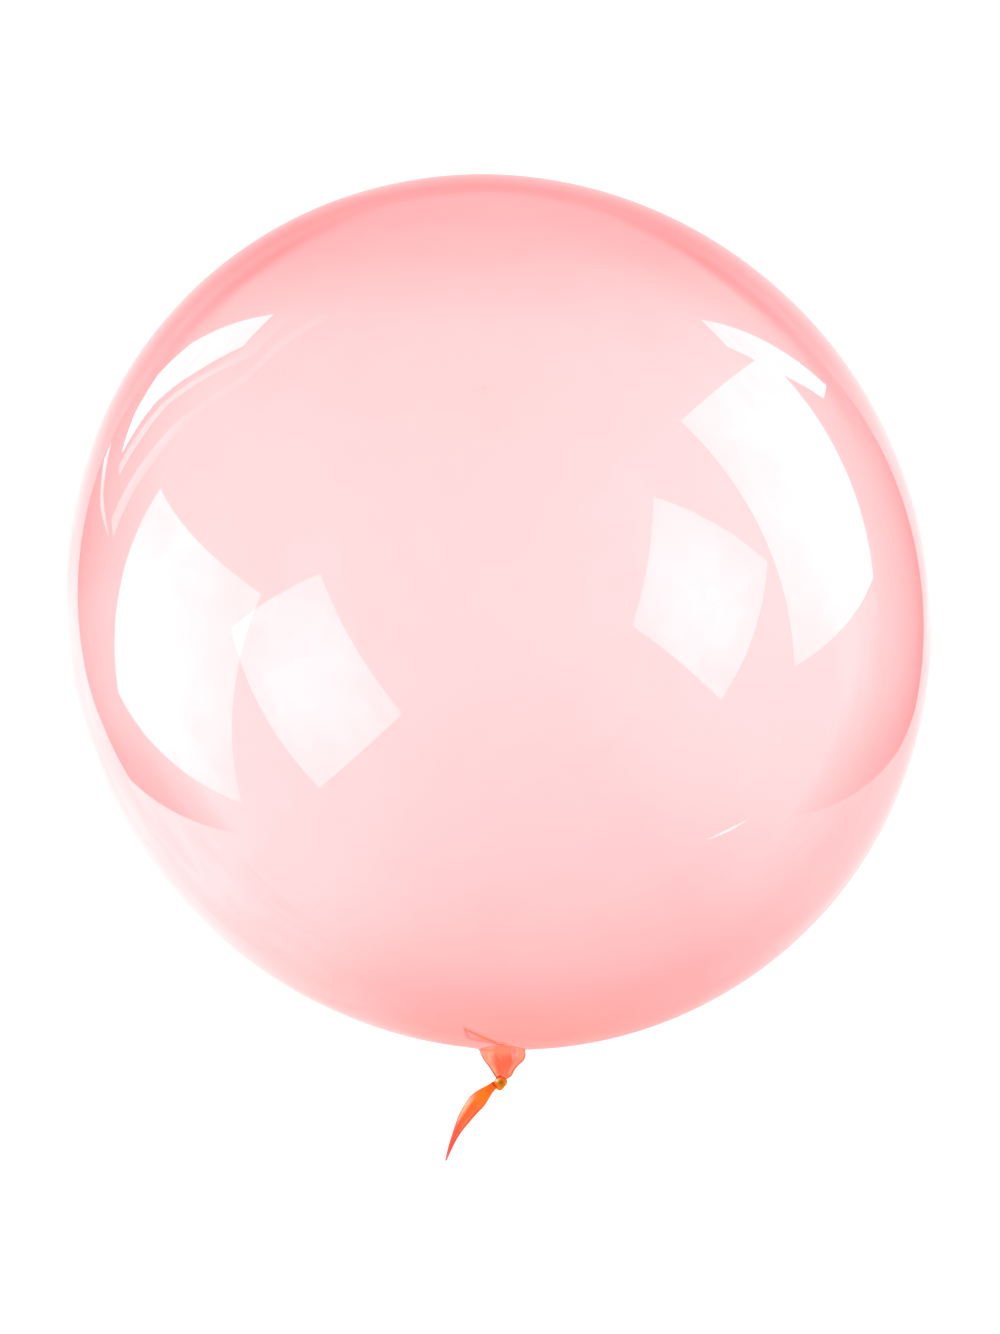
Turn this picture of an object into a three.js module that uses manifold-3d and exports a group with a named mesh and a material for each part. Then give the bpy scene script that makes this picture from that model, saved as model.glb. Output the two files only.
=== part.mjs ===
// A clear bubble balloon: one skin of clear film blown into a ball, with its neck tied in an
// overhand knot and the free end of the neck left as a short tail.
// Millimetres, +Z up. The balloon lies on the floor, z = 0, on a small flat spot, with the neck
// pointing level along -Y. The origin is the middle of that spot.

import * as THREE from "three";
import { mergeVertices } from "three/addons/utils/BufferGeometryUtils.js";
import Module from "manifold-3d";

// ---- The ball ----
const LONG_RADIUS = 285.1; // the ball is a little egg-shaped: half of its longest diameter
const SHORT_RADIUS = 274.3; // and half of the two diameters across that one
const LEAN = THREE.MathUtils.degToRad(37); // the long axis leans from +Y towards -X, level
const REST_SPOT_RADIUS = 22; // the film lies flat on the floor out to here
const CENTRE_HEIGHT = Math.sqrt(SHORT_RADIUS ** 2 - REST_SPOT_RADIUS ** 2);

// ---- The neck: the film draws in from the ball to a gathered throat inside the knot ----
const NECK_SHAPE = [
  // [radius, distance from the ball's middle, how far it leans to the +X side]
  [20.5, 280.2, 1.3],
  [17.0, 280.8, 1.9],
  [14.9, 282.2, 2.6],
  [14.2, 285.3, 3.2],
  [12.4, 288.9, 3.4],
  [8.9, 292.7, 2.8],
  [6.8, 295.7, 2.7],
  [5.2, 298.5, 2.9],
  [3.3, 300.5, 2.3],
  [2.0, 301.9, 1.5],
];
const PLEATS = [
  // [how many go round, share of the depth, turn]: two uneven sets make natural gathers
  [5, 0.62, 0.7],
  [9, 0.38, 2.1],
];
const THROAT_PLEAT = 0.2; // depth of the gathers at the throat, as a share of the radius there

// ---- The knot: an overhand knot in the gathered film ----
const STRAND_RADIUS = 1.9;
const KNOT_MIDDLE = new THREE.Vector3(0.7, -302.9, CENTRE_HEIGHT);
const KNOT_STRETCH = new THREE.Vector3(1.25, 1.0, 0.25); // millimetres for each unit of the curve
const KNOT_SINK = 1.5; // units that centre the curve's loops on its middle
const KNOT_TURN = THREE.MathUtils.degToRad(55);
const KNOT_REACH = 2.02; // the curve's parameter where the knot's two ends leave it
const KNOT_CORE = new THREE.Vector3(3.4, 3.6, 2.6); // half sizes of the film packed inside it

// ---- The tail: the flattened free end of the neck, torn off slantwise to a point ----
const TAIL_LINE = new THREE.CubicBezierCurve3(
  new THREE.Vector3(-1.9, -304.2, CENTRE_HEIGHT),
  new THREE.Vector3(-14.5, -314.3, CENTRE_HEIGHT + 2),
  new THREE.Vector3(-26.0, -326.8, CENTRE_HEIGHT + 3),
  new THREE.Vector3(-33.7, -353.3, CENTRE_HEIGHT - 1),
);
const TAIL_ROOT_WIDTH = 4.8;
const TAIL_FULL_WIDTH = 12;
const TAIL_FULL_AT = 0.36; // share of the tail's length where it is spread to its full width
const TAIL_SLANT_FROM = 0.58; // share where the slanting end begins
const TAIL_SLANT_BOW = 0.62; // below 1, the slanting edge bows outward
const TAIL_TIP_SHARE = 0.06; // the tip's width, as a share of the full width
const TAIL_ROOT_THICKNESS = 3.6;
const TAIL_END_THICKNESS = 0.9;
const TAIL_ROOT_TWIST = THREE.MathUtils.degToRad(12);
const TAIL_END_TWIST = THREE.MathUtils.degToRad(58);
const TAIL_FOLDS = 1.5; // waves across the tail's width
const TAIL_FOLD_DEPTH = 0.8;

// ---- How finely the surfaces are cut into faces ----
const AROUND = 60;
const BALL_STEPS = 30;
const NECK_STEPS = 12;
const STRAND_SIDES = 10;
const STRAND_STEPS = 40;
const STRAND_PIECES = 8;
const TAIL_ACROSS = 14;
const TAIL_STEPS = 22;

const FULL_TURN = 2 * Math.PI;
const wasm = await Module();
wasm.setup();

/** Smooth 0 to 1 as x goes from a to b. */
function ease(x, a, b) {
  return THREE.MathUtils.smoothstep(x, a, b);
}

/** A closed surface through rings of points, with a fan closing each end. */
function skinOf(rings) {
  const across = rings[0].length;
  const points = rings.flat();
  const faces = [];
  for (let i = 0; i + 1 < rings.length; i++) {
    for (let j = 0; j < across; j++) {
      const k = (j + 1) % across;
      const [a, b] = [i * across + j, i * across + k];
      const [c, d] = [a + across, b + across];
      faces.push(a, b, d, a, d, c);
    }
  }
  for (const [ring, flip] of [
    [0, true],
    [rings.length - 1, false],
  ]) {
    const middle = points.length;
    points.push(
      rings[ring]
        .reduce((sum, p) => sum.add(p), new THREE.Vector3())
        .divideScalar(across),
    );
    for (let j = 0; j < across; j++) {
      const [a, b] = [ring * across + j, ring * across + ((j + 1) % across)];
      faces.push(middle, flip ? b : a, flip ? a : b);
    }
  }
  const geometry = new THREE.BufferGeometry().setFromPoints(points);
  return geometry.setIndex(faces);
}

/** A closed mesh as a manifold-3d solid, turned the right way out if its faces point in. */
function solidOf(geometry) {
  const bare = geometry.clone();
  bare.deleteAttribute("normal");
  bare.deleteAttribute("uv");
  const merged = mergeVertices(bare, 1e-4);
  const vertices = merged.attributes.position.array;
  const build = (triangles) =>
    new wasm.Manifold(
      new wasm.Mesh({
        numProp: 3,
        vertProperties: vertices,
        triVerts: triangles,
      }),
    );
  const triangles = new Uint32Array(merged.index.array);
  const solid = build(triangles);
  return solid.volume() > 0 ? solid : build(triangles.reverse());
}

/** A manifold-3d solid as a three.js geometry. */
function geometryOf(solid) {
  const mesh = solid.getMesh();
  return new THREE.BufferGeometry()
    .setAttribute(
      "position",
      new THREE.BufferAttribute(mesh.vertProperties, mesh.numProp),
    )
    .setIndex(new THREE.BufferAttribute(mesh.triVerts, 1));
}

/** How far the ball's surface lies from its middle in a unit direction. */
function ballRadius(direction) {
  const along =
    -direction.x * Math.sin(LEAN) + direction.y * Math.cos(LEAN);
  return (
    1 /
    Math.sqrt(
      (along / LONG_RADIUS) ** 2 + (1 - along ** 2) / SHORT_RADIUS ** 2,
    )
  );
}

/** A ring of the ball, at an angle from the neck's direction. */
function ballRing(fromNeck) {
  return Array.from({ length: AROUND }, (_, j) => {
    const turn = (FULL_TURN * j) / AROUND;
    const direction = new THREE.Vector3(
      Math.sin(fromNeck) * Math.cos(turn),
      -Math.cos(fromNeck),
      Math.sin(fromNeck) * Math.sin(turn),
    );
    return direction.multiplyScalar(ballRadius(direction));
  });
}

/** A ring of the neck, at a share of the way from the ball to the throat, gathered into pleats. */
function neckRing(share, profile) {
  const { x: radius, y: distance, z: shift } = profile.getPoint(share);
  const depth = THROAT_PLEAT * ease(share, 0.15, 1);
  return Array.from({ length: AROUND }, (_, j) => {
    const turn = (FULL_TURN * j) / AROUND;
    const wave = PLEATS.reduce(
      (sum, [count, part, phase]) => sum + part * Math.cos(count * turn + phase),
      0,
    );
    const r = radius * (1 + depth * wave);
    return new THREE.Vector3(
      shift + r * Math.cos(turn),
      -distance,
      r * Math.sin(turn),
    );
  });
}

/** The blown film, solid here because it is sealed: the ball and the neck as far as the throat. */
function blownFilm() {
  const profile = new THREE.CatmullRomCurve3(
    NECK_SHAPE.map((values) => new THREE.Vector3(...values)),
    false,
    "catmullrom",
  );
  const [neckStart, distance] = NECK_SHAPE[0];
  const ballEnd = Math.asin((neckStart + 4) / distance);
  const crown = Math.PI - Math.PI / BALL_STEPS;
  const rings = [];
  for (let i = 0; i < BALL_STEPS; i++) {
    rings.push(
      ballRing(THREE.MathUtils.lerp(crown, ballEnd, i / (BALL_STEPS - 1))),
    );
  }
  for (let i = 0; i <= NECK_STEPS; i++) {
    rings.push(neckRing(i / NECK_STEPS, profile));
  }
  const skin = skinOf(rings);
  skin.translate(0, 0, CENTRE_HEIGHT);
  const depth = 50;
  const floor = new THREE.BoxGeometry(LONG_RADIUS * 2, LONG_RADIUS * 2, depth);
  floor.translate(0, 0, -depth / 2);
  return solidOf(skin).subtract(solidOf(floor));
}

/** The knot's line: an open trefoil, turned to lead from the throat to the tail. */
class KnotLine extends THREE.Curve {
  getPoint(share, point = new THREE.Vector3()) {
    const t = THREE.MathUtils.lerp(-KNOT_REACH, KNOT_REACH, share);
    return point
      .set(t ** 3 - 3 * t, t ** 4 - 4 * t ** 2 + KNOT_SINK, t ** 5 - 10 * t)
      .multiply(KNOT_STRETCH)
      .applyAxisAngle(new THREE.Vector3(0, 0, 1), KNOT_TURN)
      .add(KNOT_MIDDLE);
  }
}

/** A round strand along a list of points, closed at both ends. */
function strandAlong(points) {
  const line = new THREE.CatmullRomCurve3(points);
  const frames = line.computeFrenetFrames(points.length - 1, false);
  const rings = points.map((_, i) => {
    const at = line.getPointAt(i / (points.length - 1));
    return Array.from({ length: STRAND_SIDES }, (_, j) => {
      const turn = (FULL_TURN * j) / STRAND_SIDES;
      return at
        .clone()
        .addScaledVector(frames.normals[i], STRAND_RADIUS * Math.cos(turn))
        .addScaledVector(frames.binormals[i], STRAND_RADIUS * Math.sin(turn));
    });
  });
  return solidOf(skinOf(rings));
}

/** The knot, joined from short lengths of strand so that no length runs through itself. */
function knot() {
  const points = new KnotLine().getPoints(STRAND_STEPS);
  const length = STRAND_STEPS / STRAND_PIECES;
  const core = new THREE.SphereGeometry(1, 12, 8);
  core.scale(KNOT_CORE.x, KNOT_CORE.y, KNOT_CORE.z);
  core.translate(KNOT_MIDDLE.x, KNOT_MIDDLE.y, KNOT_MIDDLE.z);
  let joined = solidOf(core);
  for (let i = 0; i < STRAND_PIECES; i++) {
    joined = joined.add(strandAlong(points.slice(i * length, (i + 1) * length + 2)));
  }
  return joined;
}

/** The tail's width at a share of its length: it spreads from the knot, then slants to its tip. */
function tailWidth(share) {
  const spread = THREE.MathUtils.lerp(
    TAIL_ROOT_WIDTH,
    TAIL_FULL_WIDTH,
    ease(share, 0, TAIL_FULL_AT),
  );
  const left = Math.min(1, (1 - share) / (1 - TAIL_SLANT_FROM));
  return spread * Math.max(TAIL_TIP_SHARE, left ** TAIL_SLANT_BOW);
}

/** The tail: a folded, flattened film tube that widens and twists towards its cut end. */
function tail() {
  const rings = [];
  for (let i = 0; i <= TAIL_STEPS; i++) {
    const share = i / TAIL_STEPS;
    const at = TAIL_LINE.getPoint(share);
    const forward = TAIL_LINE.getTangent(share);
    const side = new THREE.Vector3(0, 0, 1).cross(forward).normalize();
    const twist = THREE.MathUtils.lerp(TAIL_ROOT_TWIST, TAIL_END_TWIST, ease(share, 0.05, 0.9));
    const wide = side.clone().applyAxisAngle(forward, twist);
    const thick = forward.clone().cross(wide);
    const width = tailWidth(share);
    const thickness = THREE.MathUtils.lerp(
      TAIL_ROOT_THICKNESS,
      TAIL_END_THICKNESS,
      ease(share, 0, 0.55),
    );
    const fold = (TAIL_FOLD_DEPTH * ease(share, 0.05, 0.5) * width) / TAIL_FULL_WIDTH;
    const edge = (across, up) => {
      const wave = fold * Math.cos(FULL_TURN * TAIL_FOLDS * across + 1);
      const rounded = Math.sqrt(Math.max(0, 1 - (2 * across) ** 4));
      return at
        .clone()
        .addScaledVector(wide, across * width)
        .addScaledVector(thick, wave + (up * thickness * (0.25 + 0.75 * rounded)) / 2);
    };
    const ring = [];
    for (let j = 0; j <= TAIL_ACROSS; j++) {
      ring.push(edge(j / TAIL_ACROSS - 0.5, 1));
    }
    for (let j = TAIL_ACROSS; j >= 0; j--) {
      ring.push(edge(j / TAIL_ACROSS - 0.5, -1));
    }
    rings.push(ring);
  }
  return solidOf(skinOf(rings));
}

const film = new THREE.MeshStandardMaterial({
  name: "clear_pink_film",
  color: 0xffa9ac,
  roughness: 0.03,
  metalness: 0,
  transparent: true,
  opacity: 0.45,
});

const balloon = new THREE.Mesh(
  geometryOf(blownFilm().add(knot()).add(tail())),
  film,
);
balloon.name = "balloon";

const part = new THREE.Group();
part.add(balloon);

export default part;
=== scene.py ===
"""A clear bubble balloon lying on a pale floor, seen from straight above."""

import math

import bpy
from mathutils import Matrix, Vector


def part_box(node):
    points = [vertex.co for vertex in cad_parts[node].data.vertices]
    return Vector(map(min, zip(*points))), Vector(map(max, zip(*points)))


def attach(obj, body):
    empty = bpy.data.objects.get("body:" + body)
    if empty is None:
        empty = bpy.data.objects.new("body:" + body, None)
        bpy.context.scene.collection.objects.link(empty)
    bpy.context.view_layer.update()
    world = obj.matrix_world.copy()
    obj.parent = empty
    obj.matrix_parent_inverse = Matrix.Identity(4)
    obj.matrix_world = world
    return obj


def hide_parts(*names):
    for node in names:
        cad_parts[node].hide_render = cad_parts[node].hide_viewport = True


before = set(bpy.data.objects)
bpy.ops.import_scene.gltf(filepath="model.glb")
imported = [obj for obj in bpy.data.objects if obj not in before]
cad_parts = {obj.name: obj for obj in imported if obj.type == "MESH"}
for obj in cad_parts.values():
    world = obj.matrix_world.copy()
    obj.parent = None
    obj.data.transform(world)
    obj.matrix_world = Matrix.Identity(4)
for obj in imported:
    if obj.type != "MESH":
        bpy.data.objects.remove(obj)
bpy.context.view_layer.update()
LOW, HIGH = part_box("balloon")

# ---- Sizes, in metres, shared with the CAD part ----
LONG_RADIUS = 0.2851
SHORT_RADIUS = 0.2743
LEAN = math.radians(37)  # the long axis leans from +Y towards -X
NECK_SHAPE = [  # (radius, distance from the ball's middle, how far it leans to the +X side)
    (0.0205, 0.2802, 0.0013),
    (0.0170, 0.2808, 0.0019),
    (0.0149, 0.2822, 0.0026),
    (0.0142, 0.2853, 0.0032),
    (0.0124, 0.2889, 0.0034),
    (0.0089, 0.2927, 0.0028),
    (0.0068, 0.2957, 0.0027),
    (0.0052, 0.2985, 0.0029),
    (0.0033, 0.3005, 0.0023),
    (0.0020, 0.3019, 0.0015),
]
PLEATS = [  # (how many go round, share of the radius, turn)
    (5, 0.50, 0.7),
    (9, 0.30, 2.1),
    (16, 0.14, 0.4),
    (27, 0.08, 3.3),
]
THROAT_PLEAT = 0.24
PLEAT_SPAN = (0.1, 1)  # shares of the neck's length between which the pleats deepen to that
AROUND = 256  # points round the ball and the neck
NECK_ROOT_SHARE = 0.12  # share of the neck's length that belongs to the ball's own skin
FILM_GAP = 0.0003  # keeps the film just clear of the floor where it lies on it
BALL_MIDDLE = Vector(((LOW[0] + HIGH[0]) / 2, 0.0, HIGH[2] - SHORT_RADIUS))

STRAND_RADIUS = 0.0019
STRAND_WAVES = [  # (how many go round, turn from end to end, share of the radius)
    (5, 9, 0.10),
    (9, -14, 0.05),
]
KNOT_MIDDLE = BALL_MIDDLE + Vector((0.0007, -0.3029, 0))
KNOT_STRETCH = Vector((0.00125, 0.0010, 0.00025))  # for each unit of its curve
KNOT_LIFT = 1.5  # how far the curve is moved along its own Y, in its own units
KNOT_TURN = math.radians(55)
KNOT_REACH = 2.02  # the curve's parameter runs this far on both sides of 0

TAIL_LINE = [  # a Bezier curve, from the ball's middle
    Vector((-0.0019, -0.3042, 0.0)),
    Vector((-0.0145, -0.3143, 0.002)),
    Vector((-0.0260, -0.3268, 0.003)),
    Vector((-0.0337, -0.3533, -0.001)),
]
TAIL_ROOT_WIDTH = 0.0048
TAIL_FULL_WIDTH = 0.012
TAIL_FULL_AT = 0.36  # share of the tail's length where it is spread to its full width
TAIL_SLANT_FROM = 0.58  # share where the slanting end begins
TAIL_SLANT_BOW = 0.62
TAIL_TIP_SHARE = 0.06
TAIL_ROOT_THICKNESS = 0.0036
TAIL_END_THICKNESS = 0.0009
TAIL_THIN_BY = 0.55  # share of the tail's length where it is down to its thin end
TAIL_EDGE_SHARE = 0.25  # share of the thickness that its edges keep
TAIL_ROOT_TWIST = math.radians(12)
TAIL_END_TWIST = math.radians(58)
TAIL_TWIST_SPAN = (0.05, 0.9)  # shares of the tail's length between which it twists
TAIL_FOLDS, TAIL_FOLDS_TURN = 1.5, 1  # waves across the tail's width, and where they start
TAIL_FOLD_DEPTH = 0.0008
TAIL_FOLD_SPAN = (0.05, 0.5)  # shares of the tail's length between which the folds grow

# ---- The blown film's tint, as how much light it takes out, and a reflection of the tail painted into it ----
FILM_TINT = [  # (share of the way from the throat to the crown, how deep)
    (0.000, 2.20),
    (0.012, 1.90),
    (0.030, 1.45),
    (0.044, 1.15),
    (0.052, 0.88),
    (0.080, 0.78),
    (0.100, 0.81),
    (0.117, 0.775),
    (0.160, 0.72),
    (0.208, 0.675),
    (0.357, 0.63),
    (0.517, 0.578),
    (0.807, 0.537),
    (0.849, 0.575),
    (0.885, 0.67),
    (0.917, 0.73),
    (0.950, 0.67),
    (0.990, 0.66),
]
FILM_TINT_TOP = 4  # the ramp holds numbers up to 1, so it holds the depths as shares of this
FILM_THROAT_Y, FILM_CROWN_Y = -0.310, 0.290
FILM_RED = 0.02  # how much red it takes out, where green is 1
FILM_BLUE = [  # and blue: a little more by the neck, which turns the pink to peach
    (0.0, 1.30),
    (0.045, 1.20),
    (0.09, 1.02),
    (0.20, 0.97),
    (1.0, 0.97),
]
FILM_BLUE_TOP = 2
FILM_SLANT = 0.35  # how much deeper it is for light that crosses it at a slant
FILM_COAT_IOR = 1.77
FILM_CLOUDS, FILM_MOTTLE = 14, 0.08  # how fine and how strong the unevenness of its tint is
# the corners of a patch that runs up the ball from the neck, where a reflection of the tail is painted
# into the film's tint, from the ball's middle
TAIL_REFLECTION_CORNERS = [(0.0028, -0.2747), (-0.0210, -0.2612), (-0.0186, -0.2691)]
TAIL_REFLECTION_OUTLINE = 0.0006  # half the width of the painted dark outline round the tail's reflection
TAIL_REFLECTION_DEPTH, TAIL_REFLECTION_OUTLINE_DEPTH = 0.35, 1.3  # how much deeper the tint is in the painted reflection of the tail, and on its painted dark outline
CROWN_ARC = [  # the film is deeper in an arc on each side of the crown: (distance in x, how much deeper)
    (0.0, 0.08),
    (0.06, 0.12),
    (0.10, 0.22),
    (0.13, 0.50),
    (0.165, 0.50),
    (0.20, 0.30),
    (0.235, 0.0),
]
CROWN_ARC_REACH = 0.25  # beyond this distance in x there is none
CROWN_ARC_HEIGHT, CROWN_ARC_WIDTH = 0.096, 0.009  # its height above the ball's middle, and half its width
CROWN_ARC_SLOPE = 0.13  # how fast it rises away from the middle
CROWN_ARC_LEVEL = 0.13  # the distance in x from which it rises no more

# ---- Colours of the gathered film, as the light that comes through it, with painted highlights on the neck and the knot ----
NECK_PALE = (1.0, 0.30, 0.17)
NECK_DEEP = (1.0, 0.13, 0.06)
NECK_DEEP_ACROSS = (0.72, 0.93)  # where the deep colour starts and is full, 1 being the neck's middle line
NECK_DEEP_ALONG = (0.2, 0.36)  # and the same along the neck, as shares of its length
NECK_THROAT = (1.0, 0.17, 0.05)
NECK_THROAT_ALONG = (0.65, 0.95)
NECK_EDGE = (0.955, 0.995)  # where the neck's edges turn brown, 1 being the very edge
NECK_HIGHLIGHT = Vector((0.0099, -0.2846, 0.0))  # where a pink highlight is painted on the neck, from the ball's middle
NECK_HIGHLIGHT_SIZE = (0.0013, 0.0032)
NECK_HIGHLIGHT_FADE = (0.6, 1.5)  # it fades out between these many times its size
# the colour of the painted pink highlight on the neck
NECK_HIGHLIGHT_TINT = (0.97, 0.20, 0.21)
FOLD_EDGE = (0.72, 0.16, 0.08)
KNOT_ORANGE = (0.82, 0.20, 0.005)
KNOT_OLIVE = (0.34, 0.14, 0.0)
KNOT_OLIVE_SPOT = (0.0014, 0.0003, 0.0019)  # (x, y, radius) from the knot's middle
# a painted pale highlight on the knot's left loop: its colour, and where it lies as (x, y, radius) from
# the knot's middle
KNOT_HIGHLIGHT = (1.0, 0.70, 0.38)
KNOT_HIGHLIGHT_SPOT = (-0.0016, 0.0015, 0.0012)
TAIL_TINTS = [  # (share of the tail's length, red, green, blue)
    (0.00, 0.70, 0.11, 0.003),
    (0.10, 0.92, 0.12, 0.005),
    (0.22, 1.00, 0.17, 0.005),
    (0.40, 1.00, 0.12, 0.02),
    (0.62, 1.00, 0.12, 0.03),
    (0.70, 1.00, 0.08, 0.03),
    (0.92, 0.95, 0.09, 0.06),
    (1.00, 0.85, 0.16, 0.16),
]
TAIL_PALE = (1.0, 0.42, 0.24)
TAIL_PALE_SIDE = -1  # which edge is the paler one
TAIL_PALE_ACROSS = (0.12, 0.26)  # where it starts and is full, 0 being the middle and 0.5 the edge
TAIL_PALE_FROM, TAIL_PALE_TO = (0.26, 0.4), (0.6, 0.7)  # where it comes and goes along the tail
TAIL_EDGE = (0.43, 0.49)  # where the tail's edges turn brown
EDGE_DARKENING = 0.75  # how much darker gathered film looks where it turns away at its edges
EDGE_BREADTH = 0.25  # how far in from the edges that reaches, 0 being not at all
GATHER_STREAKS, GATHER_STRETCH = 350, 5  # how fine its streaks are, and how many times longer than wide
GATHER_UNEVEN = 1.1  # how strong they are
GATHER_COAT_IOR, GATHER_COAT_ROUGHNESS = 1.5, 0.12
NECK_STREAKS, KNOT_STREAKS, TAIL_STREAKS = 90, 33, 57  # which way they run, in degrees from +X

# ---- Camera ----
CAMERA_HEIGHT = 3.22  # above the ball's middle
CAMERA_LENS = 135
CAMERA_SHIFT = Vector((0.0012, -0.0355, 0.0))  # from the ball's middle, so the tail is in view
SENSOR = 36

# ---- Studio ----
FLOOR_LIGHT = 1.45
FLOOR_REACH = 30  # half its side
FLOOR_WHITE = 0.9
SOFTBOX_LIGHT = 4.8  # at its middle
SOFTBOX_EDGE = 0.58  # its edges' share of that
SOFTBOX_FALL = 1.4  # it is down to that at its width divided by this, from its middle
SOFTBOX_IN_FAR_FILM = 1.7  # how much stronger its image in the far side of the film is
SOFTBOX_CLOUDS, SHEET_CLOUDS, MOTTLE = 9, 5, 0.3  # how fine and how strong the lights' unevenness is
SOFTBOXES = {
    # name: (centre from the ball's middle, direction it faces, roll about that, width and height)
    "left_softbox": ((-0.464, -0.056, 0.129), (0.880, 0.179, -0.440), 33.5, (0.359, 0.358)),
    "right_softbox": ((0.435, 0.160, 0.118), (-0.701, -0.384, -0.601), -7.6, (0.393, 0.367)),
}
# A fine white line that comes down to the horizon, from its high end to its low one.
STREAK_COMPASS = (-47.3, -38.6)  # degrees from +X
STREAK_SLOPE = (0.122, 0.014)  # how high it stands, as a share of its distance
STREAK_HALF = 0.008  # half its thickness, as a share of its distance
STREAK_DISTANCE = 60.0
STREAK_LIGHT = 4.0
# What the film mirrors: the room's walls, as (compass angle from +X, how bright)
WALLS = [
    (-180, 1.20),
    (-160, 1.70),
    (-138, 1.75),
    (-120, 1.30),
    (-107, 0.50),
    (-95, 0.20),
    (-57, 0.10),
    (-45, 0.75),
    (-30, 1.35),
    (-15, 1.50),
    (0, 1.40),
    (30, 1.30),
    (45, 1.10),
    (60, 0.50),
    (75, 0.25),
    (100, 0.10),
    (120, 0.12),
    (135, 0.35),
    (150, 0.85),
    (165, 0.95),
    (180, 1.20),
]
WALLS_TOP = 2  # the ramp holds numbers up to 1, so it holds the walls as shares of this
OVERHEAD = 0.42  # the room straight above
OVERHEAD_SIDES, OVERHEAD_LEAN = 0.5, 0.2  # how much brighter it gets to both sides, and to +X and -Y
MIRRORED_RED = 1.5  # what the film mirrors has at least this much red
DARK_FLOOR = [  # the bare floor beyond the paper is dark out to here: (compass angle, distance)
    (-180, 0.28),
    (-165, 0.30),
    (-155, 0.80),
    (-140, 1.10),
    (-40, 1.10),
    (-20, 0.80),
    (-10, 0.50),
    (160, 0.50),
    (168, 0.70),
    (175, 0.55),
    (180, 0.28),
]
DARK_FLOOR_FADE = 1.3  # and from there it gets as bright as the wall within this distance
BEHIND_LIGHT, BEHIND_REACH = 0.15, 0.3  # light just behind the paper's top edge, and how far it reaches
BEHIND_HALF_WIDTH = 0.5
# The paper's light is given this far from the ball's middle: twice by the ball, at two places
# farther out, and from the last on it is the wall's.
PAPER_STAGES = (0.0, 0.36, 0.5, 0.8, 2.0)
# The white paper that the balloon lies on, as (compass angle, how bright it is by the ball, 0.5 m
# and 0.8 m from the ball's middle); farther out it is as bright as the wall there.
PAPER = [
    (-180, 1.35, 1.45, 1.45),
    (-150, 1.30, 1.50, 1.75),
    (-138, 1.25, 1.35, 1.75),
    (-120, 1.05, 0.95, 1.10),
    (-110, 0.90, 0.68, 0.45),
    (-100, 0.70, 0.30, 0.08),
    (-90, 0.55, 0.20, 0.00),
    (-70, 0.55, 0.30, 0.00),
    (-60, 0.80, 0.40, 0.05),
    (-40, 0.95, 0.67, 0.43),
    (-25, 1.00, 0.72, 0.68),
    (0, 1.10, 0.85, 0.70),
    (25, 1.15, 0.70, 0.60),
    (40, 0.88, 0.12, 0.00),
    (90, 0.64, 0.02, 0.00),
    (140, 0.86, 0.04, 0.00),
    (150, 1.00, 0.28, 0.10),
    (160, 1.20, 0.60, 0.40),
    (172, 1.30, 1.00, 1.00),
    (180, 1.35, 1.45, 1.45),
]
PAPER_EDGES = [  # (y, left edge, right edge)
    (-0.254, -0.552, 0.616),
    (-0.160, -0.532, 0.499),
    (-0.100, -0.510, 0.450),
    (0.000, -0.505, 0.450),
    (0.560, -0.500, 0.450),
]
PAPER_FLARE_LEFT, PAPER_FLARE_RIGHT = 1.03, 0.80  # beyond, how far each runs along Y for each step in X
ROOM_DEPTH, PAPER_DEPTH, STRIP_DEPTH = 0.002, 0.001, 0.0005  # how far under the floor the sheets lie
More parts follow.
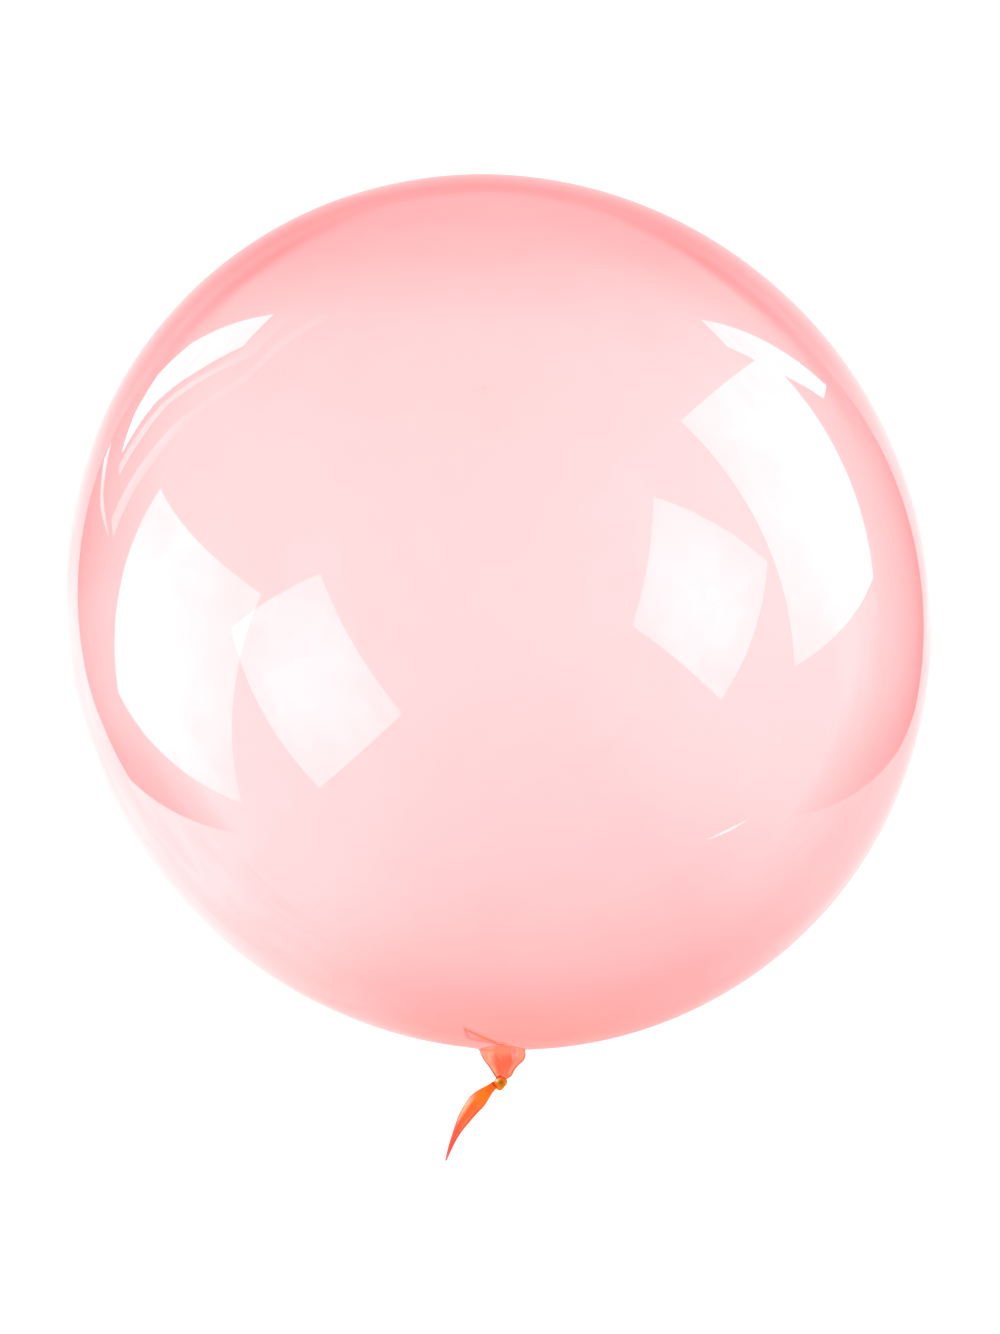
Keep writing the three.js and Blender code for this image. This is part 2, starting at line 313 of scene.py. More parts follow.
# Narrow lights behind and beside the balloon, as rows of (x, y, how bright).
STRIPS = {
    "left_strip": [
        [(-0.655, 0.272, 3.0), (-0.67, 0.272, 3.0)],
        [(-0.59, 0.315, 3.0), (-0.685, 0.32, 3.0)],
        [(-0.56, 0.385, 3.0), (-0.725, 0.43, 3.0)],
        [(-0.59, 0.51, 3.0), (-0.91, 0.705, 3.0)],
        [(-0.68, 0.70, 3.0), (-1.03, 0.90, 3.0)],
        [(-0.96, 1.28, 3.0), (-1.25, 1.29, 3.0)],
    ],
    "left_second_strip": [
        [(-0.69, 0.255, 1.2), (-0.735, 0.25, 1.4)],
        [(-0.745, 0.365, 1.2), (-0.80, 0.355, 1.4)],
        [(-0.82, 0.505, 1.2), (-0.89, 0.54, 1.6)],
        [(-0.975, 0.715, 1.2), (-1.09, 0.80, 1.7)],
        [(-1.18, 1.01, 0.9), (-1.45, 1.29, 1.4)],
        [(-1.35, 1.37, 0.7), (-1.97, 2.03, 0.8)],
        [(-1.02, 1.35, 0.3), (-1.32, 1.94, 0.4)],
    ],
    "left_third_strip": [
        [(-0.80, 0.175, 1.2), (-0.88, 0.150, 1.2)],
        [(-0.91, 0.30, 1.5), (-1.03, 0.31, 1.2)],
        [(-1.09, 0.50, 1.6), (-1.25, 0.52, 1.2)],
        [(-1.27, 0.72, 1.4), (-1.53, 0.84, 1.1)],
        [(-1.70, 1.15, 1.0), (-2.12, 1.46, 0.8)],
        [(-2.63, 2.27, 0.8), (-4.38, 3.96, 0.8)],
        [(-2.90, 2.97, 0.7), (-3.90, 4.47, 0.8)],
        [(-2.40, 2.96, 0.6), (-3.90, 5.48, 0.7)],
        [(-2.14, 3.60, 0.5), (-3.54, 6.55, 0.5)],
    ],
    "left_line": [
        [(-0.515, 0.222, 1.8), (-0.515, 0.195, 1.8)],
        [(-0.627, 0.176, 1.6), (-0.627, 0.158, 1.6)],
        [(-0.80, 0.146, 1.2), (-0.80, 0.138, 1.2)],
    ],
    "right_strip": [
        [(0.55, 0.385, 3.0), (0.66, 0.44, 3.0)],
        [(0.68, 0.72, 3.0), (0.82, 0.66, 3.0)],
        [(0.80, 1.00, 3.0), (1.02, 1.00, 3.0)],
        [(0.95, 1.33, 3.0), (1.20, 1.36, 3.0)],
    ],
}


def ease(x, a, b):
    """Smooth 0 to 1 as x goes from a to b."""
    t = min(max((x - a) / (b - a), 0.0), 1.0)
    return t * t * (3 - 2 * t)


def blend(a, b, t):
    """The number a share t of the way from a to b."""
    return a + (b - a) * t


def blend_tint(a, b, t):
    """The colour a share t of the way from a to b."""
    return [blend(x, y, t) for x, y in zip(a, b)]


def between(table, place):
    """The values at a place in a table of (place, value, ...) rows, evenly blended."""
    for before, after in zip(table, table[1:]):
        if place <= after[0]:
            t = (place - before[0]) / (after[0] - before[0])
            return blend_tint(before[1:], after[1:], t)
    return list(table[-1][1:])


def along_spline(points, share):
    """A place on the smooth curve through the points."""
    t = share * (len(points) - 1)
    i = min(int(t), len(points) - 2)
    t -= i
    p1, p2 = points[i], points[i + 1]
    p0 = points[i - 1] if i > 0 else [2 * a - b for a, b in zip(p1, p2)]
    p3 = points[i + 2] if i + 2 < len(points) else [2 * b - a for a, b in zip(p1, p2)]

    def curve(a, b, c, d):
        v0, v1 = (c - a) / 2, (d - b) / 2
        return (2 * b - 2 * c + v0 + v1) * t**3 + (-3 * b + 3 * c - 2 * v0 - v1) * t**2 + v0 * t + b

    return [curve(*values) for values in zip(p0, p1, p2, p3)]


def new_object(name, verts, faces, material, smooth=True):
    """A mesh object from points and faces."""
    mesh = bpy.data.meshes.new(name)
    mesh.from_pydata([tuple(v) for v in verts], [], faces)
    mesh.validate()
    mesh.polygons.foreach_set("use_smooth", [smooth] * len(mesh.polygons))
    mesh.update()
    made = bpy.data.objects.new(name, mesh)
    bpy.context.scene.collection.objects.link(made)
    mesh.materials.append(material)
    return made


def skin_of(rings, name, material, tints=None, closed=(True, True)):
    """A surface through rings of points, closed at its ends; tints give each point's colour."""
    around = len(rings[0])
    verts = [p for ring in rings for p in ring]
    faces = [tuple(range(around))[::-1]] if closed[0] else []
    for i in range(len(rings) - 1):
        for j in range(around):
            k = (j + 1) % around
            faces.append((i * around + j, i * around + k, (i + 1) * around + k, (i + 1) * around + j))
    if closed[1]:
        faces.append(tuple((len(rings) - 1) * around + j for j in range(around)))
    made = new_object(name, verts, faces, material)
    if tints:
        layer = made.data.color_attributes.new("tint", "FLOAT_COLOR", "POINT")
        for item, tint in zip(layer.data, tints):
            item.color = (*tint, 1)
    return made


def node_material(name):
    """A material with an empty node tree, and the tree's output node."""
    material = bpy.data.materials.new(name)
    material.use_nodes = True
    material.node_tree.nodes.clear()
    return material, material.node_tree, material.node_tree.nodes.new("ShaderNodeOutputMaterial")


def calculate(tree, operation, *values):
    """A math node's result, from numbers and other nodes' outputs."""
    node = tree.nodes.new("ShaderNodeMath")
    node.operation = operation
    for socket, value in zip(node.inputs, values):
        if isinstance(value, (int, float)):
            socket.default_value = value
        else:
            tree.links.new(value, socket)
    return node.outputs[0]


def times(tree, first, *others):
    """Numbers and other nodes' outputs multiplied."""
    for other in others:
        first = calculate(tree, "MULTIPLY", first, other)
    return first


def fade(tree, depth):
    """The share of light that comes through something of this depth."""
    return calculate(tree, "EXPONENT", times(tree, depth, -1))


def bell(tree, value, width):
    """1 where a value is 0, falling away on both sides within about the width."""
    share = calculate(tree, "DIVIDE", value, width)
    return fade(tree, times(tree, share, share))


def ramp_of(tree, value, stops, top=1):
    """A number that changes evenly between stops of (place, number), none of them over the top."""
    node = tree.nodes.new("ShaderNodeValToRGB")
    ramp = node.color_ramp
    ramp.interpolation = "LINEAR"
    while len(ramp.elements) < len(stops):
        ramp.elements.new(0.5)
    for element, (place, number) in zip(ramp.elements, stops):
        element.position = place
        element.color = (number / top, number / top, number / top, 1)
    tree.links.new(value, node.inputs[0])
    return times(tree, node.outputs["Color"], top)


def clouds(tree, scale, strength):
    """A soft unevenness round 1."""
    places = tree.nodes.new("ShaderNodeTexCoord")
    noise = tree.nodes.new("ShaderNodeTexNoise")
    noise.inputs["Scale"].default_value = scale
    noise.inputs["Detail"].default_value = 3
    noise.inputs["Distortion"].default_value = 1.2
    tree.links.new(places.outputs["Object"], noise.inputs["Vector"])
    return calculate(tree, "MULTIPLY_ADD", noise.outputs[0], 2 * strength, 1 - strength)


def film_shader(tree, out, clear, coat, coat_ior, coat_roughness):
    """A film's shader, glossy outside: the share `clear` of the light goes straight through it."""
    shader = tree.nodes.new("ShaderNodeBsdfPrincipled")
    shader.inputs["Transmission Weight"].default_value = clear
    shader.inputs["IOR"].default_value = 1.0
    shader.inputs["Roughness"].default_value = 0.0
    shader.inputs["Coat Weight"].default_value = coat
    shader.inputs["Coat IOR"].default_value = coat_ior
    shader.inputs["Coat Roughness"].default_value = coat_roughness
    tree.links.new(shader.outputs[0], out.inputs["Surface"])
    return shader


def painted_tail_reflection(tree, x, y, z):
    """How much deeper the film's tint is where a reflection of the tail is painted on the ball by the
    neck, with a painted dark outline.
    """
    corners = [Vector(corner) + BALL_MIDDLE.xy for corner in TAIL_REFLECTION_CORNERS]
    inside = None
    for start, end in zip(corners, corners[1:] + corners[:1]):
        along = (end - start).normalized()
        inward = Vector((-along.y, along.x))
        from_edge = calculate(tree, "MULTIPLY_ADD", x, inward.x, -start.dot(inward))
        from_edge = calculate(tree, "MULTIPLY_ADD", y, inward.y, from_edge)
        inside = from_edge if inside is None else calculate(tree, "MINIMUM", inside, from_edge)
    # the painted dark outline round the tail's reflection, and the painted reflection inside it
    reflection_outline = times(tree, bell(tree, inside, TAIL_REFLECTION_OUTLINE), TAIL_REFLECTION_OUTLINE_DEPTH)
    in_reflection = calculate(tree, "GREATER_THAN", inside, 0)
    reflection_depth = calculate(tree, "MULTIPLY_ADD", in_reflection, TAIL_REFLECTION_DEPTH, reflection_outline)
    on_top = calculate(tree, "GREATER_THAN", z, BALL_MIDDLE.z)
    return times(tree, reflection_depth, on_top)


def crown_arc(tree, x, y, z):
    """How much deeper the film's tint is along the arc round the crown."""
    away = calculate(tree, "ABSOLUTE", x)
    deeper = ramp_of(
        tree,
        calculate(tree, "DIVIDE", away, CROWN_ARC_REACH),
        [(place / CROWN_ARC_REACH, value) for place, value in CROWN_ARC],
    )
    rise = times(tree, calculate(tree, "MINIMUM", away, CROWN_ARC_LEVEL), CROWN_ARC_SLOPE)
    above = calculate(tree, "SUBTRACT", z, BALL_MIDDLE.z + CROWN_ARC_HEIGHT)
    off = calculate(tree, "SUBTRACT", above, rise)
    by_crown = calculate(tree, "GREATER_THAN", y, 0)
    return times(tree, deeper, bell(tree, off, CROWN_ARC_WIDTH), by_crown)


def film_material():
    """The blown film: clear, with a pink tint that is deeper towards the crown and the neck."""
    material, tree, out = node_material("clear_pink_film")
    nodes, links = tree.nodes, tree.links
    shader = film_shader(tree, out, clear=1.0, coat=1.0, coat_ior=FILM_COAT_IOR, coat_roughness=0.0)
    places = nodes.new("ShaderNodeTexCoord")
    split = nodes.new("ShaderNodeSeparateXYZ")
    links.new(places.outputs["Object"], split.inputs[0])
    share = nodes.new("ShaderNodeMapRange")
    share.inputs["From Min"].default_value = FILM_THROAT_Y
    share.inputs["From Max"].default_value = FILM_CROWN_Y
    links.new(split.outputs["Y"], share.inputs["Value"])

    depth = ramp_of(tree, share.outputs[0], FILM_TINT, FILM_TINT_TOP)
    slant = nodes.new("ShaderNodeLayerWeight")
    slant.inputs["Blend"].default_value = 0.5
    longer = calculate(tree, "MULTIPLY_ADD", slant.outputs["Facing"], FILM_SLANT, 1)
    depth = times(tree, depth, longer, clouds(tree, FILM_CLOUDS, FILM_MOTTLE))
    # add the painted reflection of the tail, with its dark outline
    depth = calculate(tree, "ADD", depth, painted_tail_reflection(tree, *split.outputs))
    depth = calculate(tree, "ADD", depth, crown_arc(tree, *split.outputs))

    blue = ramp_of(tree, share.outputs[0], FILM_BLUE, FILM_BLUE_TOP)
    channels = nodes.new("ShaderNodeCombineColor")
    for channel, weight in (("Red", FILM_RED), ("Green", 1.0), ("Blue", blue)):
        links.new(fade(tree, times(tree, depth, weight)), channels.inputs[channel])
    links.new(channels.outputs[0], shader.inputs["Base Color"])
    return material


def gathered_film_material(name, clear, coat, folds):
    """Film many layers deep: its colour follows the tint of its points, streaked along its folds."""
    material, tree, out = node_material(name)
    nodes, links = tree.nodes, tree.links
    shader = film_shader(tree, out, clear, coat, GATHER_COAT_IOR, GATHER_COAT_ROUGHNESS)
    places = nodes.new("ShaderNodeTexCoord")
    lie = nodes.new("ShaderNodeMapping")
    lie.vector_type = "TEXTURE"
    lie.inputs["Rotation"].default_value = (0, 0, math.radians(folds))
    lie.inputs["Scale"].default_value = (GATHER_STRETCH, 1, 1)
    streaks = nodes.new("ShaderNodeTexNoise")
    streaks.inputs["Scale"].default_value = GATHER_STREAKS
    streaks.inputs["Detail"].default_value = 3
    links.new(places.outputs["Object"], lie.inputs["Vector"])
    links.new(lie.outputs[0], streaks.inputs["Vector"])
    uneven = calculate(tree, "MULTIPLY_ADD", streaks.outputs[0], GATHER_UNEVEN, 1 - GATHER_UNEVEN / 2)

    edge = nodes.new("ShaderNodeLayerWeight")
    edge.inputs["Blend"].default_value = EDGE_BREADTH
    darker = calculate(tree, "MULTIPLY_ADD", edge.outputs["Facing"], -EDGE_DARKENING, 1)
    uneven = times(tree, uneven, darker)

    tint = nodes.new("ShaderNodeVertexColor")
    tint.layer_name = "tint"
    channels = nodes.new("ShaderNodeSeparateColor")
    links.new(tint.outputs["Color"], channels.inputs[0])
    mixed = nodes.new("ShaderNodeCombineColor")
    for channel, strength in (("Red", darker), ("Green", uneven), ("Blue", uneven)):
        links.new(times(tree, channels.outputs[channel], strength), mixed.inputs[channel])
    links.new(mixed.outputs[0], shader.inputs["Base Color"])
    return material


def ball_radius(direction):
    """How far the ball's surface lies from its middle in a unit direction."""
    along = -direction[0] * math.sin(LEAN) + direction[1] * math.cos(LEAN)
    return 1 / math.sqrt((along / LONG_RADIUS) ** 2 + (1 - along**2) / SHORT_RADIUS**2)


def neck_ring(share):
    """A ring of the pleated neck, from its root on the ball to the throat."""
    radius, distance, shift = along_spline(NECK_SHAPE, share)
    depth = THROAT_PLEAT * ease(share, *PLEAT_SPAN)
    ring = []
    for j in range(AROUND):
        t = 2 * math.pi * j / AROUND
        wave = sum(part * math.cos(count * t + turn) for count, part, turn in PLEATS)
        r = radius * (1 + depth * wave)
        ring.append(BALL_MIDDLE + Vector((shift + r * math.cos(t), -distance, r * math.sin(t))))
    return ring


def blown_film():
    """The ball, one thin skin that draws in at the root of the neck."""
    ball_steps, root_steps = 180, 8
    root_margin = 0.004  # the ball's last ring stands this far out from the neck's first
    crown = math.hypot(LONG_RADIUS * math.cos(LEAN), SHORT_RADIUS * math.sin(LEAN))
    neck_start, distance, _ = NECK_SHAPE[0]
    ball_end = math.asin((neck_start + root_margin) / distance)
    rings = []
    for i in range(ball_steps):
        a = blend(math.pi - math.pi / ball_steps, ball_end, i / (ball_steps - 1))
        ring = []
        for j in range(AROUND):
            t = 2 * math.pi * j / AROUND
            d = Vector((math.sin(a) * math.cos(t), -math.cos(a), math.sin(a) * math.sin(t)))
            p = d * ball_radius(d)
            p.y *= HIGH[1] / crown if p.y > 0 else 1
            p += BALL_MIDDLE
            p.z = max(p.z, FILM_GAP)
            ring.append(p)
        rings.append(ring)
    rings += [neck_ring(NECK_ROOT_SHARE * i / root_steps) for i in range(root_steps + 1)]
    return skin_of(rings, "blown_film", film_material(), closed=(True, False))


def neck(material):
    """The gathered neck: paler at its sides and root, deeper where its folds lie over each other, with a
    painted pink highlight towards its +X side.
    """
    steps = 72
    tints = []
    rings = []
    for i in range(steps + 1):
        share = blend(NECK_ROOT_SHARE, 1, i / steps)
        ring = neck_ring(share)
        rings.append(ring)
        for j, p in enumerate(ring):
            t = 2 * math.pi * j / AROUND
            deep = ease(abs(math.sin(t)), *NECK_DEEP_ACROSS) * ease(share, *NECK_DEEP_ALONG)
            tint = blend_tint(NECK_PALE, NECK_DEEP, deep)
            tint = blend_tint(tint, NECK_THROAT, ease(share, *NECK_THROAT_ALONG))
            tint = blend_tint(tint, FOLD_EDGE, ease(abs(math.cos(t)), *NECK_EDGE))
            # a painted pink highlight on the neck
            off = p - BALL_MIDDLE - NECK_HIGHLIGHT
            sizes_away = math.hypot(off.x / NECK_HIGHLIGHT_SIZE[0], off.y / NECK_HIGHLIGHT_SIZE[1])
            tints.append(blend_tint(NECK_HIGHLIGHT_TINT, tint, ease(sizes_away, *NECK_HIGHLIGHT_FADE)))
    return skin_of(rings, "neck", material, tints, closed=(False, True))


def knot_line(share):
    """The knot's line: an open trefoil."""
    t = blend(-KNOT_REACH, KNOT_REACH, share)
    p = Vector((t**3 - 3 * t, t**4 - 4 * t**2 + KNOT_LIFT, t**5 - 10 * t)) * KNOT_STRETCH
    return Matrix.Rotation(KNOT_TURN, 3, "Z") @ p + KNOT_MIDDLE


def in_spot(off, spot):
    """How far inside a round spot of (x, y, radius) a place is, 1 in its middle."""
    x, y, radius = spot
    return math.exp(-((off.x - x) ** 2 + (off.y - y) ** 2) / radius**2)


def knot_tint(off):
    """Orange, olive where most layers lie over each other, with a painted pale highlight on one loop."""
    tint = blend_tint(KNOT_ORANGE, KNOT_OLIVE, in_spot(off, KNOT_OLIVE_SPOT))
    # the painted highlight on one loop
    return blend_tint(tint, KNOT_HIGHLIGHT, in_spot(off, KNOT_HIGHLIGHT_SPOT))


def knot(material):
    """The overhand knot: gathered film running along the knot's line."""
    steps, sides = 160, 40
    points = [knot_line(i / steps) for i in range(steps + 1)]
    rings = []
    tints = []
    normal = None
    for i, at in enumerate(points):
        forward = (points[min(i + 1, steps)] - points[max(i - 1, 0)]).normalized()
        if normal is None:
            normal = forward.orthogonal().normalized()
        normal = (normal - forward * normal.dot(forward)).normalized()
        side = forward.cross(normal)
        ring = []
        for j in range(sides):
            t = 2 * math.pi * j / sides
            wave = sum(part * math.cos(count * t + turn * i / steps) for count, turn, part in STRAND_WAVES)
            r = STRAND_RADIUS * (1 + wave)
            ring.append(at + normal * r * math.cos(t) + side * r * math.sin(t))
            tints.append(knot_tint(ring[-1] - KNOT_MIDDLE))
        rings.append(ring)
    return skin_of(rings, "knot", material, tints)


def tail_width(share):
    """The tail spreads from the knot, then slants to its tip."""
    spread = blend(TAIL_ROOT_WIDTH, TAIL_FULL_WIDTH, ease(share, 0, TAIL_FULL_AT))
    left = min(1.0, (1 - share) / (1 - TAIL_SLANT_FROM))
    return spread * max(TAIL_TIP_SHARE, left**TAIL_SLANT_BOW)


def tail_tint(share, across):
    """Orange at the knot, coral towards the tip, and paler along the edge with fewer layers."""
    tint = between(TAIL_TINTS, share)
    pale = ease(TAIL_PALE_SIDE * across, *TAIL_PALE_ACROSS)
    pale *= ease(share, *TAIL_PALE_FROM) * (1 - ease(share, *TAIL_PALE_TO))
    tint = blend_tint(tint, TAIL_PALE, pale)
    return blend_tint(tint, FOLD_EDGE, ease(abs(across), *TAIL_EDGE))


def on_tail_line(s):
    """A place on the tail's Bezier curve, and the direction the curve takes there."""
    a, b, c, d = TAIL_LINE
    r = 1 - s
    at = a * r**3 + b * 3 * s * r**2 + c * 3 * s * s * r + d * s**3
    forward = (b - a) * r**2 + (c - b) * 2 * s * r + (d - c) * s * s
    return at + BALL_MIDDLE, forward.normalized()


def tail(material):
    """The free end of the neck: a flattened, folded film tube that widens and twists."""
    across_steps, steps = 60, 120
    rings = []
    tints = []
    for i in range(steps + 1):
        s = i / steps
        at, forward = on_tail_line(s)
        side = Vector((0, 0, 1)).cross(forward).normalized()
        twist = blend(TAIL_ROOT_TWIST, TAIL_END_TWIST, ease(s, *TAIL_TWIST_SPAN))
        wide = Matrix.Rotation(twist, 3, forward) @ side
        thick = forward.cross(wide)
        width = tail_width(s)
        thickness = blend(TAIL_ROOT_THICKNESS, TAIL_END_THICKNESS, ease(s, 0, TAIL_THIN_BY))
        fold = TAIL_FOLD_DEPTH * ease(s, *TAIL_FOLD_SPAN) * width / TAIL_FULL_WIDTH
        ring = []
        for up in (1, -1):
            for j in range(across_steps + 1)[::up]:
                x = j / across_steps - 0.5
                wave = fold * math.cos(2 * math.pi * TAIL_FOLDS * x + TAIL_FOLDS_TURN)
                rounded = math.sqrt(max(0.0, 1 - (2 * x) ** 4))
                lift = wave + up * thickness * blend(TAIL_EDGE_SHARE, 1, rounded) / 2
                ring.append(at + wide * x * width + thick * lift)
                tints.append(tail_tint(s, x))
        rings.append(ring)
    return skin_of(rings, "tail", material, tints)


def show_only_in_film(light, in_far_film):
    """Keep a light out of the picture, but for its mirror images in the film."""
    light.visible_camera = False
    light.visible_transmission = in_far_film
    light.visible_diffuse = False
    light.visible_shadow = False


def softbox(name, centre, facing, roll, size):
    """A square studio light, brightest in its middle, seen only in the film's mirror images."""
    material, tree, out = node_material(name)
    nodes, links = tree.nodes, tree.links
    places = nodes.new("ShaderNodeTexCoord")
    spread = nodes.new("ShaderNodeMapping")
    spread.inputs["Scale"].default_value = [SOFTBOX_FALL / max(size)] * 3
    fall = nodes.new("ShaderNodeTexGradient")
    fall.gradient_type = "SPHERICAL"
    level = nodes.new("ShaderNodeMapRange")
    level.inputs["To Min"].default_value = SOFTBOX_LIGHT * SOFTBOX_EDGE
    level.inputs["To Max"].default_value = SOFTBOX_LIGHT
    links.new(places.outputs["Object"], spread.inputs["Vector"])
    links.new(spread.outputs[0], fall.inputs["Vector"])
    links.new(fall.outputs["Fac"], level.inputs["Value"])
    path = nodes.new("ShaderNodeLightPath")
    far_film = calculate(
        tree, "MULTIPLY_ADD", path.outputs["Is Transmission Ray"], SOFTBOX_IN_FAR_FILM - 1, 1
    )
    shine = nodes.new("ShaderNodeEmission")
    bright = times(tree, level.outputs[0], far_film, clouds(tree, SOFTBOX_CLOUDS, MOTTLE))
    links.new(bright, shine.inputs["Strength"])
    links.new(shine.outputs[0], out.inputs["Surface"])

    x, y = size[0] / 2, size[1] / 2
    corners = [(-x, -y, 0), (x, -y, 0), (x, y, 0), (-x, y, 0)]
    box = new_object(name, corners, [(0, 1, 2, 3)], material, smooth=False)
    z_axis = Vector(facing).normalized()
    x_axis = Vector((0, 0, 1)).cross(z_axis).normalized()
    turn = Matrix((x_axis, z_axis.cross(x_axis), z_axis)).transposed()
    turn @= Matrix.Rotation(math.radians(roll), 3, "Z")
    box.matrix_world = Matrix.Translation(BALL_MIDDLE + Vector(centre)) @ turn.to_4x4()
    show_only_in_film(box, in_far_film=True)


def room_light(x, y):
    """How bright the room's floor looks: dark round the paper, as the wall behind it far away."""
    compass = math.degrees(math.atan2(y, x))
    (wall,) = between(WALLS, compass)
    (dark_to,) = between(DARK_FLOOR, compass)
    light = wall * min(max((math.hypot(x, y) - dark_to) / DARK_FLOOR_FADE, 0.0), 1.0)
    beyond = y - PAPER_EDGES[-1][0]
    if beyond > 0 and abs(x) < BEHIND_HALF_WIDTH + beyond:
        light += BEHIND_LIGHT * max(0.0, 1 - beyond / BEHIND_REACH)
    return light


def paper_light(x, y):
    """How bright the paper looks at a point."""
    compass = math.degrees(math.atan2(y, x))
    (wall,) = between(WALLS, compass)
    close, middle, beyond = between(PAPER, compass)
    stages = list(zip(PAPER_STAGES, (close, close, middle, beyond, wall)))
    return between(stages, math.hypot(x, y))[0]


def room_rows():
    """The room's floor as rings of points."""
    nearest, growth, rings, around = 0.3, 1.12, 44, 90
    rows = []
    for i in range(rings):
        distance = nearest * growth**i
        turns = [2 * math.pi * j / around for j in range(around + 1)]
        points = [(distance * math.cos(t), distance * math.sin(t)) for t in turns]
        rows.append([(x, y, room_light(x, y)) for x, y in points])
    return rows


def paper_rows():
    """The paper as rows of points across it."""
    steps, across = 36, 60
    first_step, growth, flare_steps = 0.02, 1.12, 48
    near, top = PAPER_EDGES[0][0], PAPER_EDGES[-1][0]
    ys = [blend(top, near, i / steps) for i in range(steps)]
    ys += [near - first_step * (growth**i - 1) / (growth - 1) for i in range(flare_steps)]
    rows = []
    for y in ys:
        flare = max(near - y, 0)
        left, right = between(PAPER_EDGES, max(y, near))
        left -= flare / PAPER_FLARE_LEFT
        right += flare / PAPER_FLARE_RIGHT
        xs = [blend(left, right, j / across) for j in range(across + 1)]
        rows.append([(x, y, paper_light(x, y)) for x in xs])
    return rows


def mirrored(name, rows, depth):
    """A sheet under the floor that only the film's mirror images see, as bright as its points say."""
    points = [point for row in rows for point in row]
    across = len(rows[0])
    faces = []
    for i in range(len(rows) - 1):
        for j in range(across - 1):
            k = i * across + j
            faces.append((k, k + 1, k + across + 1, k + across))
    material, tree, out = node_material(name)
    level = tree.nodes.new("ShaderNodeVertexColor")
    level.layer_name = "light"
    shine = tree.nodes.new("ShaderNodeEmission")
    tree.links.new(level.outputs["Color"], shine.inputs["Color"])
    tree.links.new(clouds(tree, SHEET_CLOUDS, MOTTLE), shine.inputs["Strength"])
    tree.links.new(shine.outputs[0], out.inputs["Surface"])
    made = new_object(name, [(x, y, -depth) for x, y, _ in points], faces, material, smooth=False)
    light = made.data.color_attributes.new("light", "FLOAT_COLOR", "POINT")
    for item, (_, _, bright) in zip(light.data, points):
        item.color = (max(bright, MIRRORED_RED), bright, bright, 1)
    show_only_in_film(made, in_far_film=False)


def far_streak():
    """A thin light far off by the horizon, a fine white line in the ball."""
    steps = 12
    verts = []
    for i in range(steps + 1):
        t = i / steps
        compass = math.radians(blend(*STREAK_COMPASS, t))
        slope = blend(*STREAK_SLOPE, t)
        for thick in (-STREAK_HALF, STREAK_HALF):
            way = Vector((math.cos(compass), math.sin(compass), slope + thick * math.sin(math.pi * t)))
            verts.append(BALL_MIDDLE + way * STREAK_DISTANCE)
    faces = [(2 * i, 2 * i + 2, 2 * i + 3, 2 * i + 1) for i in range(steps)]
    material, tree, out = node_material("far_streak")
    shine = tree.nodes.new("ShaderNodeEmission")
    shine.inputs["Strength"].default_value = STREAK_LIGHT
    tree.links.new(shine.outputs[0], out.inputs["Surface"])
    made = new_object("far_streak", verts, faces, material, smooth=False)
    show_only_in_film(made, in_far_film=False)


def floor():
    """The pale floor, which the film doesn't mirror: it mirrors the sheets under it instead."""
    material, tree, out = node_material("pale_floor")
    shader = tree.nodes.new("ShaderNodeBsdfDiffuse")
    shader.inputs["Color"].default_value = (FLOOR_WHITE, FLOOR_WHITE, FLOOR_WHITE, 1)
    tree.links.new(shader.outputs[0], out.inputs["Surface"])
    s = FLOOR_REACH
    corners = [(-s, -s, 0), (s, -s, 0), (s, s, 0), (-s, s, 0)]
    made = new_object("floor", corners, [(0, 1, 2, 3)], material)
    made.visible_glossy = False


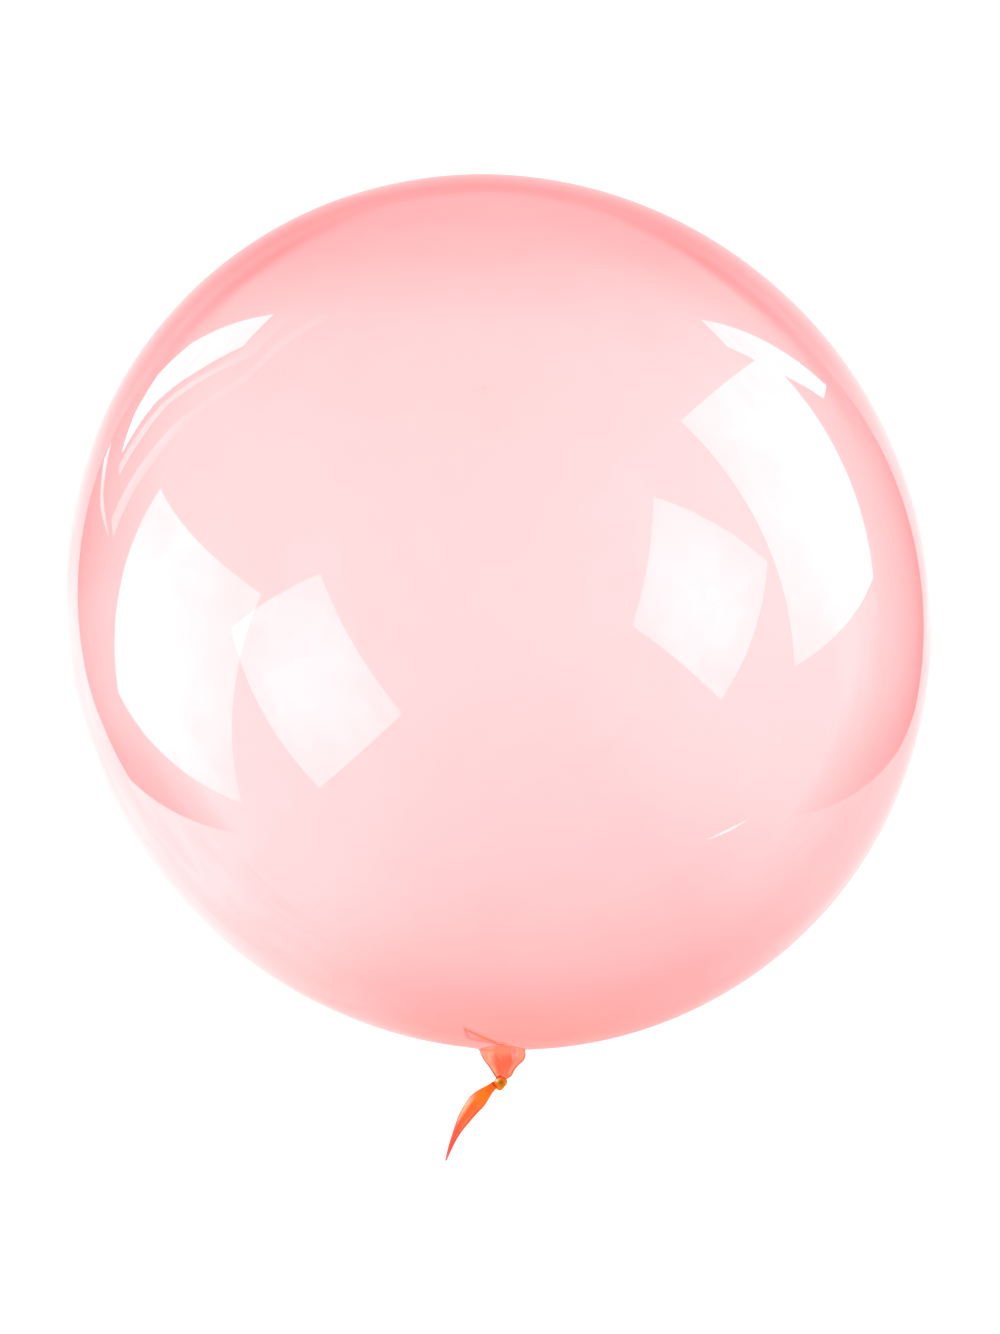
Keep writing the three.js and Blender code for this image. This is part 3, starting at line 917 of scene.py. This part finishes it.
def studio_world():
    """Even white light on the floor, while the film mirrors the room's walls and ceiling."""
    world = bpy.data.worlds.new("studio")
    world.use_nodes = True
    bpy.context.scene.world = world
    tree = world.node_tree
    tree.nodes.clear()
    nodes, links = tree.nodes, tree.links
    out = nodes.new("ShaderNodeOutputWorld")
    direction = nodes.new("ShaderNodeTexCoord")
    split = nodes.new("ShaderNodeSeparateXYZ")
    links.new(direction.outputs["Generated"], split.inputs[0])
    x, y, z = split.outputs
    compass = calculate(tree, "MULTIPLY_ADD", calculate(tree, "ARCTAN2", y, x), 0.5 / math.pi, 0.5)
    stops = [((angle + 180) / 360, bright) for angle, bright in WALLS]
    walls = ramp_of(tree, compass, stops, WALLS_TOP)
    up = calculate(tree, "MAXIMUM", z, 0)
    sides = calculate(tree, "MULTIPLY_ADD", times(tree, x, x), OVERHEAD_SIDES, OVERHEAD)
    lean = times(tree, calculate(tree, "SUBTRACT", x, y), OVERHEAD_LEAN)
    overhead = times(tree, calculate(tree, "ADD", sides, lean), up)
    walls = times(tree, walls, calculate(tree, "SUBTRACT", 1, up))
    level = calculate(tree, "ADD", walls, overhead)
    mirrored_room = nodes.new("ShaderNodeCombineColor")
    mirrored_room.inputs["Red"].default_value = MIRRORED_RED
    links.new(level, mirrored_room.inputs["Green"])
    links.new(level, mirrored_room.inputs["Blue"])
    path = nodes.new("ShaderNodeLightPath")
    is_mirrored = calculate(
        tree, "SUBTRACT", path.outputs["Is Glossy Ray"], path.outputs["Is Transmission Ray"]
    )
    colour = nodes.new("ShaderNodeMix")
    colour.data_type = "RGBA"
    links.new(is_mirrored, colour.inputs["Factor"])
    colour.inputs[6].default_value = (FLOOR_LIGHT, FLOOR_LIGHT, FLOOR_LIGHT, 1)
    links.new(mirrored_room.outputs[0], colour.inputs[7])
    background = nodes.new("ShaderNodeBackground")
    links.new(colour.outputs[2], background.inputs["Color"])
    links.new(background.outputs[0], out.inputs["Surface"])


def camera():
    """The photograph's view, straight down on the balloon."""
    data = bpy.data.cameras.new("camera")
    data.lens = CAMERA_LENS
    data.sensor_width = SENSOR
    made = bpy.data.objects.new("camera", data)
    bpy.context.scene.collection.objects.link(made)
    made.location = BALL_MIDDLE + CAMERA_SHIFT + Vector((0, 0, CAMERA_HEIGHT))
    bpy.context.scene.camera = made


bpy.context.scene.view_settings.view_transform = "Standard"
neck_piece = neck(gathered_film_material("neck_film", clear=1.0, coat=0.6, folds=NECK_STREAKS))
knot_piece = knot(gathered_film_material("knotted_film", clear=0.35, coat=0.3, folds=KNOT_STREAKS))
tail_piece = tail(gathered_film_material("tail_film", clear=1.0, coat=0.5, folds=TAIL_STREAKS))
for piece in (blown_film(), neck_piece, knot_piece, tail_piece):
    piece.visible_shadow = False
    piece.visible_diffuse = False
    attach(piece, "root")
    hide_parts("balloon")
for name, (centre, facing, roll, size) in SOFTBOXES.items():
    softbox(name, centre, facing, roll, size)
mirrored("room_floor", room_rows(), ROOM_DEPTH)
mirrored("paper", paper_rows(), PAPER_DEPTH)
far_streak()
for name, rows in STRIPS.items():
    mirrored(name, rows, STRIP_DEPTH)
floor()
studio_world()
camera()
